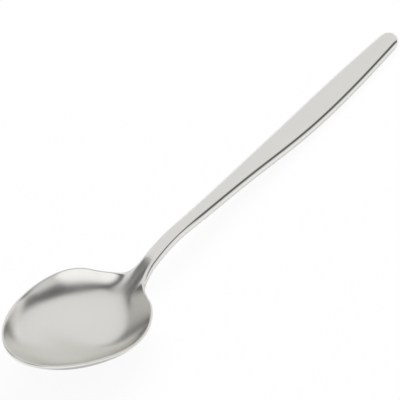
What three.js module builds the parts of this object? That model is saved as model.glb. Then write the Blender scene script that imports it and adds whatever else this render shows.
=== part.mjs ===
// Teaspoon pressed from one steel blank, built as its bowl, neck and handle.
// Millimetres. +X runs from the bowl's tip to the handle's end and +Z is up.
// The spoon lies on Z = 0, with its length centred on the origin.

import * as THREE from 'three';
import { mergeVertices } from 'three/addons/utils/BufferGeometryUtils.js';

// Overall length, from the bowl's tip to the handle's end
const overallLength = 145;

// Bowl outline seen from above, an egg that is widest at a distance from its tip
const bowlLength = 40.25;
const bowlWidth = 29.5;
const bowlWidestAt = 23.6;
const tipFullness = 1.71;
const heelFullness = 2.17;

// Metal of the bowl, measured upright, the rounding of its rim and the steepness of its walls
const bowlThickness = 1.2;
const rimRadius = 0.25;
const wallFullness = 0.5;

// Height of the hollow's floor over the table along the middle line
const tipFloor = 8.8;
const frontFloor = 4.5;
const middleFloor = 1.65;
const heelFloor = 2.3;

// Heel, where the bowl narrows into the neck
const heelLength = 8.4;
const heelWidth = 3.75;
const heelFlare = 2.4;

// Neck
const neckLength = 18;
const neckWidth = 3.55;
const neckHeight = 7.7;
const neckRadius = 1.25;

// Handle, with its width at the shoulder, at each quarter of its length and at its end
const shoulderWidth = 3.7;
const lowerWidth = 4.8;
const middleWidth = 6.3;
const upperWidth = 6.25;
const endWidth = 4.5;
const endLength = 2.85;
const endFullness = 2.2;
const handleThickness = 2.8;
const handleRadius = 0.95;
const thickeningLength = 24;

// Rise of the handle's top face along its middle, as a share of its half-width
const crownShare = 0.05;

// Largest share of the metal's thickness that one rounded edge may take
const edgeShare = 0.45;

// Cut under bowl and handle that leaves flats for the spoon to rest on
const restCut = 0.05;

// Height of the rim at the bowl's widest place, and the rise and fall of the top edge along the spoon
const rimHeight = 9.35;
const tipRise = 5.8;
const frontRise = 3;
const backFall = 0.6;
const heelFall = 1.4;
const heelDip = 2.2;
const neckDip = 1.25;
const shoulderFall = 0.7;
const lowerRise = 2.45;
const middleRise = 0.55;

// Places along the spoon, as distances from the bowl's tip. The pieces meet where neck and handle start.
const flareStart = bowlLength - heelFlare;
const neckStart = bowlLength + heelLength;
const neckMiddle = neckStart + neckLength / 2;
const handleStart = neckStart + neckLength;
const handleLength = overallLength - handleStart;
const endStart = overallLength - endLength;
const thickeningEnd = neckStart + neckLength / 4;
const thickeningStart = thickeningEnd - thickeningLength;
const backMiddle = (bowlWidestAt + flareStart) / 2;

// Width of the neck and handle, as distance and full width
const handleWidths = [
  [neckStart, heelWidth],
  [neckMiddle, neckWidth],
  [handleStart, shoulderWidth],
  [handleStart + handleLength / 4, lowerWidth],
  [handleStart + handleLength / 2, middleWidth],
  [overallLength - handleLength / 4, upperWidth],
  [overallLength, endWidth],
];

// Height of the top edge over the table, as distance and height
const handleHeight = handleThickness - restCut;
const edgeHeights = [
  [0, rimHeight + tipRise],
  [bowlWidestAt / 2, rimHeight + frontRise],
  [bowlWidestAt, rimHeight],
  [backMiddle, rimHeight - backFall],
  [flareStart, rimHeight - heelFall],
  [(flareStart + neckStart) / 2, neckHeight - heelDip],
  [neckStart, neckHeight - neckDip],
  [neckMiddle, neckHeight],
  [handleStart, neckHeight - shoulderFall],
  [handleStart + handleLength / 4, handleHeight + lowerRise],
  [handleStart + handleLength / 2, handleHeight + middleRise],
  [overallLength - handleLength / 4, handleHeight],
  [overallLength, handleHeight],
];

// Height of the hollow's floor along the middle line, as distance and height
const floorHeights = [
  [0, rimHeight + tipRise],
  [bowlWidestAt / 3, tipFloor],
  [(bowlWidestAt * 2) / 3, frontFloor],
  [bowlWidestAt, middleFloor],
  [backMiddle, bowlThickness - restCut],
  [flareStart, heelFloor],
  [neckStart, neckHeight - neckDip],
];

// Mesh steps, the steps for measuring slopes, and the fine grid that the points lie on
const tipSteps = 18;
const heelSteps = 22;
const neckSteps = 10;
const handleSteps = 26;
const endSteps = 8;
const faceSteps = 9;
const cornerSteps = 3;
const slopeStep = 0.001;
const wallStep = 0.3;
const pointGrid = 0.0001;

// Smooth curve through stations, straight at both ends
function splineThrough(stations) {
  const last = stations.length - 1;
  const at = stations.map((station) => station[0]);
  const value = stations.map((station) => station[1]);
  const bend = new Array(last + 1).fill(0);
  const carry = new Array(last + 1).fill(0);
  for (let i = 1; i < last; i += 1) {
    const before = at[i] - at[i - 1];
    const after = at[i + 1] - at[i];
    const turn = (value[i + 1] - value[i]) / after - (value[i] - value[i - 1]) / before;
    const pivot = 2 * (before + after) - before * carry[i - 1];
    carry[i] = after / pivot;
    bend[i] = (6 * turn - before * bend[i - 1]) / pivot;
  }
  for (let i = last - 1; i > 0; i -= 1) {
    bend[i] -= carry[i] * bend[i + 1];
  }
  return (distance) => {
    let i = 1;
    while (i < last && distance > at[i]) {
      i += 1;
    }
    const span = at[i] - at[i - 1];
    const near = (at[i] - distance) / span;
    const far = 1 - near;
    const curve = (near ** 3 - near) * bend[i - 1] + (far ** 3 - far) * bend[i];
    return near * value[i - 1] + far * value[i] + (curve * span * span) / 6;
  };
}

const handleWidth = splineThrough(handleWidths);
const edgeHeight = splineThrough(edgeHeights);
const bowlFloor = splineThrough(floorHeights);

// Slope of a curve at a distance from the tip
function slopeOf(curve, distance) {
  return (curve(distance + slopeStep) - curve(distance - slopeStep)) / (2 * slopeStep);
}

// Smooth curve that leaves one curve at a distance and joins another further on
function bridge(first, start, second, end) {
  const length = end - start;
  const leaving = [first(start), slopeOf(first, start) * length];
  const arriving = [second(end), slopeOf(second, end) * length];
  return (distance) => {
    const far = (distance - start) / length;
    const near = 1 - far;
    const outOf = near * near * (leaving[0] * (1 + 2 * far) + leaving[1] * far);
    const into = far * far * (arriving[0] * (1 + 2 * near) - arriving[1] * near);
    return outOf + into;
  };
}

// Half-width of the bowl's egg outline
function eggHalfWidth(distance) {
  const toTip = THREE.MathUtils.clamp((bowlWidestAt - distance) / bowlWidestAt, 0, 1);
  const toHeel = THREE.MathUtils.clamp((distance - bowlWidestAt) / (bowlLength - bowlWidestAt), 0, 1);
  const rounding = (1 - toTip ** tipFullness) * (1 - toHeel ** heelFullness);
  return (bowlWidth / 2) * Math.sqrt(rounding);
}

// Half-width of the handle with its rounded end
function handleHalfWidth(distance) {
  const intoEnd = THREE.MathUtils.clamp((distance - overallLength) / endLength + 1, 0, 1);
  return (handleWidth(distance) / 2) * Math.sqrt(1 - intoEnd ** endFullness);
}

// Outline and floor of the heel, running smoothly from the bowl into the neck
const heelHalfWidth = bridge(eggHalfWidth, flareStart, handleHalfWidth, neckStart);
const heelFloorLine = bridge(bowlFloor, flareStart, edgeHeight, neckStart);

// Half-width of the whole spoon seen from above
function halfWidth(distance) {
  if (distance < flareStart) {
    return eggHalfWidth(distance);
  }
  return distance < neckStart ? heelHalfWidth(distance) : handleHalfWidth(distance);
}

// Share of the change from the bowl's metal to the handle's
function handleShare(distance) {
  return THREE.MathUtils.smoothstep(distance, thickeningStart, thickeningEnd);
}

function thickness(distance) {
  return THREE.MathUtils.lerp(bowlThickness, handleThickness, handleShare(distance));
}

// Radius of the rounded edge, small at the rim and largest at the neck
function edgeRadius(distance) {
  const toNeck = THREE.MathUtils.smoothstep(distance, bowlLength, neckStart);
  const toHandle = THREE.MathUtils.smoothstep(distance, neckStart + neckLength / 3, handleStart);
  const radius = THREE.MathUtils.lerp(rimRadius, neckRadius, toNeck);
  return THREE.MathUtils.lerp(radius, handleRadius, toHandle);
}

// Depth of the hollow under its edge along the middle line
function hollowDepth(distance) {
  if (distance >= neckStart) {
    return 0;
  }
  const floor = distance < flareStart ? bowlFloor(distance) : heelFloorLine(distance);
  return edgeHeight(distance) - floor;
}

// Height of the top face over the table at a place of the plan. The front of the bowl has walls
// steeper than a parabola's, and this fades towards the heel.
function faceHeight(place) {
  const outline = Math.max(halfWidth(place.x), slopeStep);
  const share = Math.max(0, 1 - (place.y / outline) ** 2);
  const fullness = wallFullness * (1 - THREE.MathUtils.smoothstep(place.x, bowlWidestAt, flareStart));
  return edgeHeight(place.x) - hollowDepth(place.x) * share * (1 + fullness * (1 - share));
}

// Outward direction of the outline in plan, square to the middle line from the neck on
function outlineNormal(distance, side) {
  if (distance <= 0) {
    return new THREE.Vector2(-1, 0);
  }
  if (distance >= overallLength) {
    return new THREE.Vector2(1, 0);
  }
  if (distance >= neckStart && distance <= endStart) {
    return new THREE.Vector2(0, side);
  }
  return new THREE.Vector2(-slopeOf(halfWidth, distance), side).normalize();
}

// Angle at which the top face climbs towards the outline
function wallAngle(outline, outward) {
  const inner = outline.clone().addScaledVector(outward, -wallStep);
  return Math.atan((faceHeight(outline) - faceHeight(inner)) / wallStep);
}

// Row of points round the edge, from the top face to the underside
function roundedEdge(outline, outward, angle, radius, topHeight, underHeight) {
  const drop = radius * Math.cos(angle);
  const corners = [
    { from: -angle, to: Math.PI / 2, centre: topHeight - drop },
    { from: Math.PI / 2, to: Math.PI - angle, centre: underHeight + drop },
  ];
  const points = [];
  for (const { from, to, centre } of corners) {
    for (let i = 0; i <= cornerSteps; i += 1) {
      const turn = THREE.MathUtils.lerp(from, to, i / cornerSteps);
      const plan = outline.clone().addScaledVector(outward, radius * (Math.sin(turn) - 1));
      points.push(new THREE.Vector3(plan.x, plan.y, centre + radius * Math.cos(turn)));
    }
  }
  return points;
}

// One side of a cross-section, from the middle of the top round the edge to the middle of the underside
function sideOfSection(anchor, distance, side) {
  const outward = outlineNormal(distance, side);
  const outline = new THREE.Vector2(distance, side * halfWidth(distance));
  const angle = wallAngle(outline, outward);
  const radius = Math.min(edgeRadius(distance), edgeShare * thickness(distance) * Math.cos(angle));
  const start = new THREE.Vector2(anchor, 0);
  const topEdge = outline.clone().addScaledVector(outward, -radius * (1 + Math.sin(angle)));
  const underEdge = outline.clone().addScaledVector(outward, -radius * (1 - Math.sin(angle)));
  const underHeight = (place) => faceHeight(place) - thickness(place.x);
  const top = [];
  const under = [];
  for (let i = 0; i < faceSteps; i += 1) {
    const share = i / faceSteps;
    const above = start.clone().lerp(topEdge, share);
    const below = start.clone().lerp(underEdge, share);
    const crown = crownShare * Math.abs(topEdge.y) * (1 - share * share) * handleShare(above.x);
    top.push(new THREE.Vector3(above.x, above.y, faceHeight(above) + crown));
    under.unshift(new THREE.Vector3(below.x, below.y, underHeight(below)));
  }
  const edge = roundedEdge(outline, outward, angle, radius, faceHeight(topEdge), underHeight(underEdge));
  return [...top, ...edge, ...under];
}

// Closed ring of points on a fine grid, resting no lower than the table
function sectionRing(anchor, distance) {
  const left = sideOfSection(anchor, distance, 1);
  const right = sideOfSection(anchor, distance, -1);
  const ring = [...left, ...right.slice(1, -1).reverse()];
  for (const point of ring) {
    point.x -= overallLength / 2;
    point.z = Math.max(point.z, 0);
    point.divideScalar(pointGrid).round().multiplyScalar(pointGrid);
  }
  return ring;
}

// Rings that turn about one point of the middle line, round the bowl's tip or the handle's end
function turningRings(anchor, reach, steps) {
  const rings = [];
  for (let i = 1; i <= steps; i += 1) {
    const angle = (i / steps) * (Math.PI / 2);
    rings.push(sectionRing(anchor, anchor + reach * Math.sin(angle)));
  }
  return rings;
}

// Rings of the bowl from its widest place to the neck, leaning back along the heel
function heelRings() {
  const length = neckStart - bowlWidestAt;
  const rings = [];
  for (let i = 0; i <= heelSteps; i += 1) {
    const share = i / heelSteps;
    rings.push(sectionRing(bowlWidestAt + length * share * share, bowlWidestAt + length * share));
  }
  return rings;
}

// Square rings along a stretch of the neck or handle
function straightRings(from, to, steps) {
  const rings = [];
  for (let i = 0; i <= steps; i += 1) {
    const distance = THREE.MathUtils.lerp(from, to, i / steps);
    rings.push(sectionRing(distance, distance));
  }
  return rings;
}

// Flat face across a square ring
function endFace(ring, facing) {
  const half = ring.length / 2;
  const faces = [];
  for (let i = 0; i + 1 < half - i; i += 1) {
    for (const side of [1, -1]) {
      const pick = (k) => ring[(side * k + ring.length) % ring.length];
      const quad = [pick(i), pick(i + 1), pick(half - i - 1), pick(half - i)];
      faces.push(side * facing > 0 ? quad.reverse() : quad);
    }
  }
  return faces;
}

// Skin between neighbouring rings
function skinFaces(rings) {
  const faces = [];
  for (let i = 0; i + 1 < rings.length; i += 1) {
    const near = rings[i];
    const far = rings[i + 1];
    for (let k = 0; k < near.length; k += 1) {
      const next = (k + 1) % near.length;
      faces.push([near[k], far[k], far[next], near[next]]);
    }
  }
  return faces;
}

// Named steel piece from four-sided faces, leaving out triangles that have no area
function steelPiece(name, roughness, faces) {
  const positions = [];
  for (const [a, b, c, d] of faces) {
    for (const triangle of [[a, b, c], [a, c, d]]) {
      const [p, q, r] = triangle;
      const hasArea = !p.equals(q) && !q.equals(r) && !r.equals(p);
      if (hasArea) {
        triangle.forEach((point) => positions.push(point.x, point.y, point.z));
      }
    }
  }
  const geometry = new THREE.BufferGeometry();
  geometry.setAttribute('position', new THREE.Float32BufferAttribute(positions, 3));
  const steel = new THREE.MeshStandardMaterial({ color: 0xc9c8c4, metalness: 1, roughness });
  const piece = new THREE.Mesh(mergeVertices(geometry, pointGrid / 10), steel);
  piece.name = name;
  return piece;
}

function bowl() {
  const tip = turningRings(bowlWidestAt, -bowlWidestAt, tipSteps).reverse();
  const rings = [...tip, ...heelRings()];
  return steelPiece('bowl', 0.28, [...skinFaces(rings), ...endFace(rings.at(-1), 1)]);
}

function neck() {
  const rings = straightRings(neckStart, handleStart, neckSteps);
  const ends = [...endFace(rings[0], -1), ...endFace(rings.at(-1), 1)];
  return steelPiece('neck', 0.3, [...skinFaces(rings), ...ends]);
}

function handle() {
  const shank = straightRings(handleStart, endStart, handleSteps);
  const end = turningRings(endStart, endLength, endSteps);
  const rings = [...shank, ...end];
  return steelPiece('handle', 0.34, [...endFace(rings[0], -1), ...skinFaces(rings)]);
}

const group = new THREE.Group();
group.name = 'teaspoon';
group.add(bowl(), neck(), handle());

export default group;
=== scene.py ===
import math

import bpy
import numpy as np
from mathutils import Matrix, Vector


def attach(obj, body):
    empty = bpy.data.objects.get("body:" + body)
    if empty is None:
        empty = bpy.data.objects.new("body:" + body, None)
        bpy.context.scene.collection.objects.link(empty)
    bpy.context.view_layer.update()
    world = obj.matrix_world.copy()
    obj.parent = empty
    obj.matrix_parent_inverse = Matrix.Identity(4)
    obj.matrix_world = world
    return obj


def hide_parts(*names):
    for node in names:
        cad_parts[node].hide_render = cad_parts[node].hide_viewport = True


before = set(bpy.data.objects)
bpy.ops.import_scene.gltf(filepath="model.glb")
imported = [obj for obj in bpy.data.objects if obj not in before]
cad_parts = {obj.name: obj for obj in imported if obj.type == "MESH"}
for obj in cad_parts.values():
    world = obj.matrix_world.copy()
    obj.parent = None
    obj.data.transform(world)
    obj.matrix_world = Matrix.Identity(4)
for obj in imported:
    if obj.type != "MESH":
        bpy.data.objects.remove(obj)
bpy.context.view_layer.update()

# Sizes of the spoon in millimetres, the same as the solids'. Distances run from the bowl's tip.
OVERALL_LENGTH = 145
BOWL_LENGTH = 40.25
BOWL_WIDTH = 29.5
BOWL_WIDEST_AT = 23.6
TIP_FULLNESS = 1.71
HEEL_FULLNESS = 2.17
WALL_FULLNESS = 0.5
BOWL_THICKNESS = 1.2
RIM_RADIUS = 0.25
HEEL_LENGTH = 8.4
HEEL_WIDTH = 3.75
HEEL_FLARE = 2.4
NECK_LENGTH = 18
NECK_WIDTH = 3.55
NECK_RADIUS = 1.25
SHOULDER_WIDTH = 3.7
LOWER_WIDTH = 4.8
MIDDLE_WIDTH = 6.3
UPPER_WIDTH = 6.25
END_WIDTH = 4.5
END_LENGTH = 2.85
END_FULLNESS = 2.2
HANDLE_THICKNESS = 2.8
THICKENING_LENGTH = 24
HANDLE_RADIUS = 0.95
RIM_HEIGHT = 9.35
TIP_FLOOR = 8.8
FRONT_FLOOR = 4.5
MIDDLE_FLOOR = 1.65
HEEL_FLOOR = 2.3
TIP_RISE = 5.8
FRONT_RISE = 3
BACK_FALL = 0.6
HEEL_FALL = 1.4
NECK_HEIGHT = 7.7
HEEL_DIP = 2.2
NECK_DIP = 1.25
SHOULDER_FALL = 0.7
LOWER_RISE = 2.45
MIDDLE_RISE = 0.55

# How far the handle's top rises in the middle, as a share of its half-width
CROWN_SHARE = 0.05

# Largest share of the metal's thickness that one rounded edge may take
EDGE_SHARE = 0.45

# How deep the table cuts into the underside for the resting flats
REST_CUT = 0.05

# Share by which the handle's upper rounded edges are flattened to a bevel, in this fine surface alone
BEVEL_SHARE = 0.75

# Places along the spoon
FLARE_START = BOWL_LENGTH - HEEL_FLARE
NECK_START = BOWL_LENGTH + HEEL_LENGTH
HANDLE_START = NECK_START + NECK_LENGTH
HANDLE_LENGTH = OVERALL_LENGTH - HANDLE_START
END_START = OVERALL_LENGTH - END_LENGTH
THICKENING_END = NECK_START + NECK_LENGTH / 4
THICKENING_START = THICKENING_END - THICKENING_LENGTH

# Full width of the neck and handle at distances from the tip
HANDLE_WIDTHS = [
    (NECK_START, HEEL_WIDTH),
    (NECK_START + NECK_LENGTH / 2, NECK_WIDTH),
    (HANDLE_START, SHOULDER_WIDTH),
    (HANDLE_START + HANDLE_LENGTH / 4, LOWER_WIDTH),
    (HANDLE_START + HANDLE_LENGTH / 2, MIDDLE_WIDTH),
    (OVERALL_LENGTH - HANDLE_LENGTH / 4, UPPER_WIDTH),
    (OVERALL_LENGTH, END_WIDTH),
]

# Height of the top edge over the table at distances from the tip
HANDLE_HEIGHT = HANDLE_THICKNESS - REST_CUT
EDGE_HEIGHTS = [
    (0, RIM_HEIGHT + TIP_RISE),
    (BOWL_WIDEST_AT / 2, RIM_HEIGHT + FRONT_RISE),
    (BOWL_WIDEST_AT, RIM_HEIGHT),
    ((BOWL_WIDEST_AT + FLARE_START) / 2, RIM_HEIGHT - BACK_FALL),
    (FLARE_START, RIM_HEIGHT - HEEL_FALL),
    ((FLARE_START + NECK_START) / 2, NECK_HEIGHT - HEEL_DIP),
    (NECK_START, NECK_HEIGHT - NECK_DIP),
    (NECK_START + NECK_LENGTH / 2, NECK_HEIGHT),
    (HANDLE_START, NECK_HEIGHT - SHOULDER_FALL),
    (HANDLE_START + HANDLE_LENGTH / 4, HANDLE_HEIGHT + LOWER_RISE),
    (HANDLE_START + HANDLE_LENGTH / 2, HANDLE_HEIGHT + MIDDLE_RISE),
    (OVERALL_LENGTH - HANDLE_LENGTH / 4, HANDLE_HEIGHT),
    (OVERALL_LENGTH, HANDLE_HEIGHT),
]

# Height of the bowl's floor along its middle line at distances from the tip
FLOOR_HEIGHTS = [
    (0, RIM_HEIGHT + TIP_RISE),
    (BOWL_WIDEST_AT / 3, TIP_FLOOR),
    (BOWL_WIDEST_AT * 2 / 3, FRONT_FLOOR),
    (BOWL_WIDEST_AT, MIDDLE_FLOOR),
    ((BOWL_WIDEST_AT + FLARE_START) / 2, BOWL_THICKNESS - REST_CUT),
    (FLARE_START, HEEL_FLOOR),
    (NECK_START, NECK_HEIGHT - NECK_DIP),
]

# Mesh steps of the fine surface
TIP_STEPS = 72
HEEL_STEPS = 88
NECK_STEPS = 48
HANDLE_STEPS = 160
END_STEPS = 32
FACE_STEPS = 36
CORNER_STEPS = 8

# Shares of the way across a face and round a corner at which the surface has points
FACE_SHARES = np.arange(FACE_STEPS + 1) / FACE_STEPS
CORNER_SHARES = np.arange(CORNER_STEPS + 1) / CORNER_STEPS

# Lengths in millimetres over which slopes and the wall's angle are measured
SLOPE_STEP = 0.001
WALL_STEP = 0.3

# Points that agree to this many decimals are one point, and edges sharper than this angle stay sharp
POINT_DECIMALS = 5
SHARP_ANGLE = math.radians(60)

# One millimetre in metres
MILLIMETRE = 0.001

# Steel's duller and brighter shade, and the power with which the worn edge fades into a face
DULL_STEEL = (0.785, 0.778, 0.747, 1)
BRIGHT_STEEL = (0.835, 0.828, 0.797, 1)
WEAR_FADE = 6

# Noise of the brushing streaks, in waves per metre, and the strength and height of their bump
STREAK_SCALE = 2600
STREAK_STRETCH = (0.03, 1, 1)
STREAK_DETAIL = 4
STREAK_BUMP = 0.02
STREAK_DEPTH = 0.00001

# Noise of the smudges, in waves per metre, and how far they change the roughness
SMUDGE_SCALE = 110
SMUDGE_STRETCH = (0.6, 1, 1)
SMUDGE_TURN = 0.3
SMUDGE_DETAIL = 3
SMUDGE_ROUGHNESS = 0.1

# Bright parts of the studio: azimuth and elevation, and the cosines at which each starts and is full
BACKDROP = (61, 44, 0.06, 0.2)
BACKDROP_END = (-15, 0, -0.15, 0.0)
FRONT_SWEEP = (-108, -50, 0.1, 0.2)
SIDE_SCREEN = (150, 44, 0.84, 0.955)
FRONT_CARD = (-112, 8, 0.81, 0.93)

# Brightness of these parts apart from the card, which is white, and of the dim room round them
BACKDROP_LEVEL = 0.71
FRONT_LEVEL = 0.6
SIDE_LEVEL = 0.55
ROOM_LEVEL = 0.12

# Floor in metres, its colour, and the share of plain white that the camera and the steel see in it
FLOOR_HALF = 3.0
FLOOR_GAP = 0.00005
FLOOR_COLOUR = (0.92, 0.92, 0.92, 1)
FLOOR_CAMERA_WHITE = 0.92
FLOOR_MIRROR_WHITE = 0.2
WHITE = (1, 1, 1, 1)

# Soft lamp over the spoon, in metres and watts
KEY_PLACE = (0.5, 0.4, 1.0)
KEY_SIZE = (1.2, 1.0)
KEY_WATTS = 10

# Camera, in degrees, metres and millimetres of lens
CAMERA_AZIMUTH = -143.7
CAMERA_ELEVATION = 45.5
CAMERA_AIM = (-0.00134, 0.00236, 0.00531)
CAMERA_DISTANCE = 1.547
CAMERA_LENS = 609.6
CAMERA_SENSOR = 36
CAMERA_REACH = 20


def blend(start, end, share):
    return start + (end - start) * share


def smooth_step(x, low, high):
    """Share that eases from 0 at the low end to 1 at the high end."""
    share = np.clip((x - low) / (high - low), 0, 1)
    return share * share * (3 - 2 * share)


def spline_through(stations):
    """Smooth curve through stations, straight at both ends."""
    at, value = np.array(stations, float).T
    gap = np.diff(at)
    turn = 6 * np.diff(np.diff(value) / gap)
    system = np.diag(2 * (gap[:-1] + gap[1:])) + np.diag(gap[1:-1], 1) + np.diag(gap[1:-1], -1)
    bend = np.zeros(len(at))
    bend[1:-1] = np.linalg.solve(system, turn)

    def curve(x):
        i = np.clip(np.searchsorted(at, x), 1, len(at) - 1)
        span = gap[i - 1]
        near = (at[i] - x) / span
        far = 1 - near
        sag = (near ** 3 - near) * bend[i - 1] + (far ** 3 - far) * bend[i]
        return near * value[i - 1] + far * value[i] + sag * span * span / 6

    return curve


handle_width = spline_through(HANDLE_WIDTHS)
edge_height = spline_through(EDGE_HEIGHTS)
bowl_floor = spline_through(FLOOR_HEIGHTS)


def slope_of(curve, x):
    return (curve(x + SLOPE_STEP) - curve(x - SLOPE_STEP)) / (2 * SLOPE_STEP)


def unit(vectors):
    return vectors / np.linalg.norm(vectors, axis=-1, keepdims=True)


def egg_half_width(distance):
    """Half-width of the bowl's egg outline."""
    to_tip = np.clip((BOWL_WIDEST_AT - distance) / BOWL_WIDEST_AT, 0, 1)
    to_heel = np.clip((distance - BOWL_WIDEST_AT) / (BOWL_LENGTH - BOWL_WIDEST_AT), 0, 1)
    rounding = (1 - to_tip ** TIP_FULLNESS) * (1 - to_heel ** HEEL_FULLNESS)
    return BOWL_WIDTH / 2 * np.sqrt(rounding)


def handle_half_width(distance):
    """Half-width of the handle with its rounded end."""
    into_end = np.clip((distance - OVERALL_LENGTH) / END_LENGTH + 1, 0, 1)
    return handle_width(distance) / 2 * np.sqrt(1 - into_end ** END_FULLNESS)


def bridge(start, end):
    """Smooth curve between two points, each given as distance, value and slope."""
    start_at, start_value, start_slope = start
    end_at, end_value, end_slope = end
    length = end_at - start_at

    def curve(x):
        far = np.clip((x - start_at) / length, 0, 1)
        near = 1 - far
        leaving = near * near * (start_value * (1 + 2 * far) + start_slope * length * far)
        arriving = far * far * (end_value * (1 + 2 * near) - end_slope * length * near)
        return leaving + arriving

    return curve


def point_of(curve, distance):
    """Distance, value and slope of a curve."""
    return distance, curve(distance), slope_of(curve, distance)


# Half-width of the heel and height of its floor, which run from the bowl's into the neck's
heel_half_width = bridge(point_of(egg_half_width, FLARE_START), point_of(handle_half_width, NECK_START))
heel_floor = bridge(point_of(bowl_floor, FLARE_START), point_of(edge_height, NECK_START))


def half_width(distance):
    """Half-width of the whole spoon seen from above."""
    behind = np.where(distance < NECK_START, heel_half_width(distance), handle_half_width(distance))
    return np.where(distance < FLARE_START, egg_half_width(distance), behind)


def handle_share(distance):
    """Share of the change from the bowl's metal to the handle's."""
    return smooth_step(distance, THICKENING_START, THICKENING_END)


def thickness(distance):
    return blend(BOWL_THICKNESS, HANDLE_THICKNESS, handle_share(distance))


def handle_edge_share(distance):
    """Share of the change from the neck's edges to the handle's."""
    return smooth_step(distance, NECK_START + NECK_LENGTH / 3, HANDLE_START)


def edge_radius(distance):
    """Radius of the rounded edges, small at the rim and largest at the neck."""
    radius = blend(RIM_RADIUS, NECK_RADIUS, smooth_step(distance, BOWL_LENGTH, NECK_START))
    return blend(radius, HANDLE_RADIUS, handle_edge_share(distance))


def hollow_at(distance, across):
    """How far the bowl's face lies under its edge, with fuller walls than a parabola's in front."""
    lowest = np.where(distance < FLARE_START, bowl_floor(distance), heel_floor(distance))
    depth = np.where(distance < NECK_START, edge_height(distance) - lowest, 0)
    outline = np.maximum(half_width(distance), SLOPE_STEP)
    share = np.maximum(0, 1 - (across / outline) ** 2)
    fullness = WALL_FULLNESS * (1 - smooth_step(distance, BOWL_WIDEST_AT, FLARE_START))
    return depth * share * (1 + fullness * (1 - share))


def face_height(distance, across):
    """Height of the top face over the table."""
    return edge_height(distance) - hollow_at(distance, across)


def outline_normal(distance):
    """Outward direction of the outline in plan, square to the middle line from the neck on."""
    inner = np.clip(distance, 2 * SLOPE_STEP, OVERALL_LENGTH - 2 * SLOPE_STEP)
    straight = (distance >= NECK_START) & (distance <= END_START)
    along = np.where(straight, 0, -slope_of(half_width, inner))
    at_tip = distance <= 0
    at_end = distance >= OVERALL_LENGTH
    along = np.where(at_tip, -1, np.where(at_end, 1, along))
    aside = np.where(at_tip | at_end, 0, 1)
    return unit(np.stack([along, aside], -1))


def wall_angle(outline, outward):
    """Angle at which the top face climbs towards the outline."""
    inner = outline - WALL_STEP * outward
    rise = face_height(outline[:, 0], outline[:, 1]) - face_height(inner[:, 0], inner[:, 1])
    return np.arctan(rise / WALL_STEP)


def face_plan(anchor, edge):
    """Plan of the points of a face, in rows from the middle line out to its edge."""
    along = blend(anchor[:, None], edge[:, :1], FACE_SHARES)
    across = edge[:, 1:] * FACE_SHARES
    return along, across


def top_rows(anchor, edge):
    """Rows of points of the top face, a little crowned on the handle."""
    along, across = face_plan(anchor, edge)
    crown = CROWN_SHARE * edge[:, 1:] * (1 - FACE_SHARES ** 2) * handle_share(along)
    return np.stack([along, across, face_height(along, across) + crown], -1)


def under_rows(anchor, edge):
    """Rows of points of the underside, at the metal's thickness under the top face."""
    along, across = face_plan(anchor, edge)
    return np.stack([along, across, face_height(along, across) - thickness(along)], -1)


def corner_rows(outline, outward, radius, turn, centre):
    """Rows of points round a corner that touches the outline, through angles from upright."""
    reach = radius * (np.sin(turn) - 1)
    plan = outline[:, None] + reach[..., None] * outward[:, None]
    height = centre + radius * np.cos(turn)
    return np.concatenate([plan, height[..., None]], -1)


def bevelled(rows, share):
    """Rows of points pulled by a share towards the straight line between their ends."""
    straight = blend(rows[:, :1], rows[:, -1:], CORNER_SHARES[:, None])
    return blend(rows, straight, share[:, None, None])


def left_half(anchor, distance):
    """Left side of each cross-section, from the middle of the top round to that of the underside."""
    outward = outline_normal(distance)
    outline = np.stack([distance, half_width(distance)], -1)
    angle = wall_angle(outline, outward)[:, None]
    largest = EDGE_SHARE * thickness(distance)[:, None] * np.cos(angle)
    radius = np.minimum(edge_radius(distance)[:, None], largest)
    top = top_rows(anchor, outline - radius * (1 + np.sin(angle)) * outward)
    under = under_rows(anchor, outline - radius * (1 - np.sin(angle)) * outward)

    drop = radius * np.cos(angle)
    upper_turn = blend(-angle, math.pi / 2, CORNER_SHARES)
    lower_turn = blend(math.pi / 2, math.pi - angle, CORNER_SHARES)
    upper = corner_rows(outline, outward, radius, upper_turn, top[:, -1, 2:] - drop)
    lower = corner_rows(outline, outward, radius, lower_turn, under[:, -1, 2:] + drop)
    upper = bevelled(upper, BEVEL_SHARE * handle_edge_share(distance))
    return np.concatenate([top[:, :-1], upper, lower, under[:, -2::-1]], 1)


def section_rings(anchor, distance):
    """Closed rings of points in the frame, resting no lower than the table."""
    distance = np.asarray(distance, float)
    left = left_half(np.broadcast_to(np.asarray(anchor, float), distance.shape), distance)
    right = left[:, -2:0:-1] * np.array([1, -1, 1])
    rings = np.concatenate([left, right], 1)
    rings[..., 0] -= OVERALL_LENGTH / 2
    rings[..., 2] = np.maximum(rings[..., 2], 0)
    return rings


def bowl_rings():
    """Rings that fan round the bowl's tip, then run back to the neck."""
    turn = np.linspace(math.pi / 2, 0, TIP_STEPS, endpoint=False)
    tip = section_rings(BOWL_WIDEST_AT, BOWL_WIDEST_AT * (1 - np.sin(turn)))
    share = np.linspace(0, 1, HEEL_STEPS + 1)
    middle = blend(BOWL_WIDEST_AT, NECK_START, share ** 2)
    heel = section_rings(middle, blend(BOWL_WIDEST_AT, NECK_START, share))
    return np.concatenate([tip, heel])


def neck_rings():
    distance = np.linspace(NECK_START, HANDLE_START, NECK_STEPS + 1)
    return section_rings(distance, distance)


def handle_rings():
    """Rings along the handle that fan round its end."""
    distance = np.linspace(HANDLE_START, END_START, HANDLE_STEPS + 1)
    turn = np.linspace(0, math.pi / 2, END_STEPS + 1)[1:]
    end = section_rings(END_START, END_START + END_LENGTH * np.sin(turn))
    return np.concatenate([section_rings(distance, distance), end])


def edge_weights():
    """How close each point of a ring lies to the rounded edge, from 0 to 1."""
    face = FACE_SHARES[:-1] ** WEAR_FADE
    left = np.concatenate([face, np.ones(2 * CORNER_STEPS + 2), face[::-1]])
    return np.concatenate([left, left[-2:0:-1]])


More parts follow.
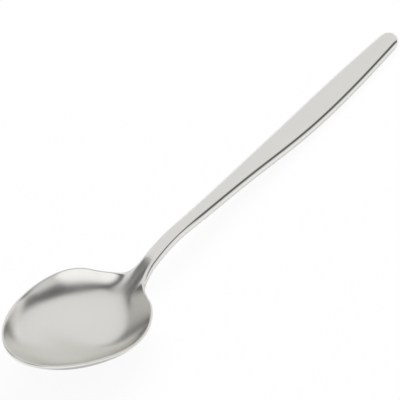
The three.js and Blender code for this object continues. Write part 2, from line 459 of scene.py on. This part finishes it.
def skin_faces(index, capped_start, capped_end):
    """Faces between rings of point numbers, and over capped ends, with points that meet counted once."""
    following = np.roll(index, -1, 1)
    quads = np.stack([index[:-1], index[1:], following[1:], following[:-1]], -1).reshape(-1, 4)
    faces = [tuple(dict.fromkeys(quad)) for quad in quads.tolist()]
    faces = [face for face in faces if len(face) > 2]
    if capped_start:
        faces.append(tuple(index[0].tolist()))
    if capped_end:
        faces.append(tuple(index[-1, ::-1].tolist()))
    return faces


def piece_from_rings(name, rings, capped_start, capped_end):
    """Closed smooth piece of the spoon in metres, with closeness to the edge as an attribute."""
    count, around = rings.shape[:2]
    points = np.round(rings.reshape(-1, 3), POINT_DECIMALS)
    points, first, index = np.unique(points, axis=0, return_index=True, return_inverse=True)
    faces = skin_faces(index.reshape(count, around), capped_start, capped_end)
    mesh = bpy.data.meshes.new(name)
    mesh.from_pydata((points * MILLIMETRE).tolist(), [], faces)
    mesh.shade_smooth()
    mesh.set_sharp_from_angle(angle=SHARP_ANGLE)
    weights = np.tile(edge_weights(), count)[first]
    edge = mesh.attributes.new("edge", "FLOAT", "POINT")
    edge.data.foreach_set("value", weights.astype(np.float32))
    piece = bpy.data.objects.new(name, mesh)
    bpy.context.scene.collection.objects.link(piece)
    return piece


class Nodes:
    """Short ways to add and join shader nodes in one tree."""

    def __init__(self, tree):
        self.tree = tree
        tree.nodes.clear()

    def add(self, kind, settings=None, **inputs):
        node = self.tree.nodes.new(kind)
        for key, value in (settings or {}).items():
            setattr(node, key, value)
        for key, value in inputs.items():
            self.feed(node.inputs[key.replace("_", " ")], value)
        return node

    def feed(self, socket, value):
        if isinstance(value, bpy.types.NodeSocket):
            self.tree.links.new(value, socket)
        else:
            socket.default_value = value

    def math(self, operation, *values):
        node = self.tree.nodes.new("ShaderNodeMath")
        node.operation = operation
        for socket, value in zip(node.inputs, values):
            self.feed(socket, value)
        return node.outputs[0]

    def ramp(self, value, low, high):
        """Share that eases from 0 to 1 between two values."""
        eased = {"interpolation_type": "SMOOTHSTEP"}
        node = self.add("ShaderNodeMapRange", eased, Value=value, From_Min=low, From_Max=high)
        return node.outputs["Result"]

    def mix_shaders(self, share, first, second):
        node = self.add("ShaderNodeMixShader", Fac=share)
        self.feed(node.inputs[1], first.outputs[0])
        self.feed(node.inputs[2], second.outputs[0])
        return node.outputs[0]


def steel(name, roughness, brushing, polish):
    """Satin steel, brushed along the spoon and smudged, with edges that wear has polished."""
    material = bpy.data.materials.new(name)
    material.use_nodes = True
    nodes = Nodes(material.node_tree)
    place = nodes.add("ShaderNodeTexCoord").outputs["Object"]

    def noise(scale, stretch, turn, detail):
        mapping = nodes.add("ShaderNodeMapping", Vector=place, Scale=stretch, Rotation=(0, 0, turn))
        texture = nodes.add("ShaderNodeTexNoise", Vector=mapping.outputs[0], Scale=scale, Detail=detail)
        return texture.outputs["Fac"]

    streaks = noise(STREAK_SCALE, STREAK_STRETCH, 0, STREAK_DETAIL)
    smudges = noise(SMUDGE_SCALE, SMUDGE_STRETCH, SMUDGE_TURN, SMUDGE_DETAIL)
    edge = nodes.add("ShaderNodeAttribute", {"attribute_name": "edge"}).outputs["Fac"]

    shade = nodes.add("ShaderNodeMix", {"data_type": "RGBA"}, Factor=smudges, A=DULL_STEEL, B=BRIGHT_STEEL)

    least = roughness - SMUDGE_ROUGHNESS / 2 - brushing / 2
    rough = nodes.math("MULTIPLY_ADD", smudges, SMUDGE_ROUGHNESS, least)
    rough = nodes.math("MULTIPLY_ADD", streaks, brushing, rough)
    rough = nodes.math("MULTIPLY_ADD", edge, -polish, rough)

    bump = nodes.add("ShaderNodeBump", Strength=STREAK_BUMP, Distance=STREAK_DEPTH, Height=streaks)
    shader = nodes.add("ShaderNodeBsdfPrincipled", Metallic=1.0, Roughness=rough,
                       Base_Color=shade.outputs["Result"], Normal=bump.outputs[0])
    nodes.add("ShaderNodeOutputMaterial", Surface=shader.outputs[0])
    return material


def dress(name, rings, material, capped_start=True, capped_end=True):
    """Steel piece that takes the place of one solid."""
    piece = piece_from_rings(name + "_steel", rings, capped_start, capped_end)
    piece.data.materials.append(material)
    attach(piece, "root")
    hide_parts(name)


def direction(azimuth, elevation):
    """Unit vector towards a place of the studio, azimuth from +X towards +Y, in degrees."""
    a, e = math.radians(azimuth), math.radians(elevation)
    return (math.cos(a) * math.cos(e), math.sin(a) * math.cos(e), math.sin(e))


def studio_world():
    """Dim room with a bright backdrop and other bright parts, which the camera sees as plain white."""
    world = bpy.data.worlds.new("studio")
    bpy.context.scene.world = world
    world.use_nodes = True
    nodes = Nodes(world.node_tree)
    toward = nodes.add("ShaderNodeTexCoord").outputs["Generated"]

    def bright_part(azimuth, elevation, starts, full):
        product = nodes.add("ShaderNodeVectorMath", {"operation": "DOT_PRODUCT"})
        nodes.feed(product.inputs[0], toward)
        product.inputs[1].default_value = direction(azimuth, elevation)
        return nodes.ramp(product.outputs["Value"], starts, full)

    backdrop = nodes.math("MINIMUM", bright_part(*BACKDROP), bright_part(*BACKDROP_END))
    front = bright_part(*FRONT_SWEEP)
    side = bright_part(*SIDE_SCREEN)
    level = bright_part(*FRONT_CARD)
    for part, brightness in ((backdrop, BACKDROP_LEVEL), (front, FRONT_LEVEL), (side, SIDE_LEVEL)):
        level = nodes.math("MAXIMUM", level, nodes.math("MULTIPLY", part, brightness))
    level = nodes.math("ADD", level, ROOM_LEVEL)
    studio = nodes.add("ShaderNodeBackground", Color=WHITE, Strength=level)
    white = nodes.add("ShaderNodeBackground", Color=WHITE, Strength=1.0)
    seen = nodes.add("ShaderNodeLightPath").outputs["Is Camera Ray"]
    nodes.add("ShaderNodeOutputWorld", Surface=nodes.mix_shaders(seen, studio, white))


def floor_material():
    """White paper that looks plain white to the camera and, in part, to the steel."""
    material = bpy.data.materials.new("floor_white")
    material.use_nodes = True
    nodes = Nodes(material.node_tree)
    paper = nodes.add("ShaderNodeBsdfDiffuse", Color=FLOOR_COLOUR)
    glow = nodes.add("ShaderNodeEmission", Color=WHITE, Strength=1.0)
    path = nodes.add("ShaderNodeLightPath").outputs
    to_camera = nodes.math("MULTIPLY", path["Is Camera Ray"], FLOOR_CAMERA_WHITE)
    to_steel = nodes.math("MULTIPLY", path["Is Glossy Ray"], FLOOR_MIRROR_WHITE)
    seen = nodes.math("MAXIMUM", to_camera, to_steel)
    nodes.add("ShaderNodeOutputMaterial", Surface=nodes.mix_shaders(seen, paper, glow))
    return material


def studio_floor():
    """Plain white floor that keeps the spoon's soft shadow."""
    mesh = bpy.data.meshes.new("floor")
    corners = [(x * FLOOR_HALF, y * FLOOR_HALF, 0) for x, y in ((-1, -1), (1, -1), (1, 1), (-1, 1))]
    mesh.from_pydata(corners, [], [(0, 1, 2, 3)])
    mesh.materials.append(floor_material())
    floor = bpy.data.objects.new("floor", mesh)
    floor.location.z = -FLOOR_GAP
    bpy.context.scene.collection.objects.link(floor)


def key_light():
    """Large soft lamp aimed at the spoon, kept out of its reflections."""
    data = bpy.data.lights.new("key", "AREA")
    data.shape = "RECTANGLE"
    data.size, data.size_y = KEY_SIZE
    data.energy = KEY_WATTS
    lamp = bpy.data.objects.new("key", data)
    lamp.location = KEY_PLACE
    lamp.rotation_euler = (-Vector(KEY_PLACE)).to_track_quat("-Z", "Y").to_euler()
    lamp.visible_glossy = False
    bpy.context.scene.collection.objects.link(lamp)


def photo_camera():
    """Camera at the photograph's viewing angle, far off with a long lens."""
    back = Vector(direction(CAMERA_AZIMUTH, CAMERA_ELEVATION))
    data = bpy.data.cameras.new("camera")
    data.lens = CAMERA_LENS
    data.sensor_width = CAMERA_SENSOR
    data.clip_end = CAMERA_REACH
    camera = bpy.data.objects.new("camera", data)
    camera.location = Vector(CAMERA_AIM) + back * CAMERA_DISTANCE
    camera.rotation_euler = (-back).to_track_quat("-Z", "Y").to_euler()
    bpy.context.scene.collection.objects.link(camera)
    bpy.context.scene.camera = camera


bowl_satin = steel("bowl_satin", roughness=0.22, brushing=0.05, polish=0.06)
neck_satin = steel("neck_satin", roughness=0.16, brushing=0.06, polish=0.08)
handle_satin = steel("handle_satin", roughness=0.22, brushing=0.08, polish=0.14)
dress("bowl", bowl_rings(), bowl_satin, capped_start=False)
dress("neck", neck_rings(), neck_satin)
dress("handle", handle_rings(), handle_satin, capped_end=False)
studio_world()
studio_floor()
key_light()
photo_camera()
bpy.context.scene.view_settings.view_transform = "Standard"
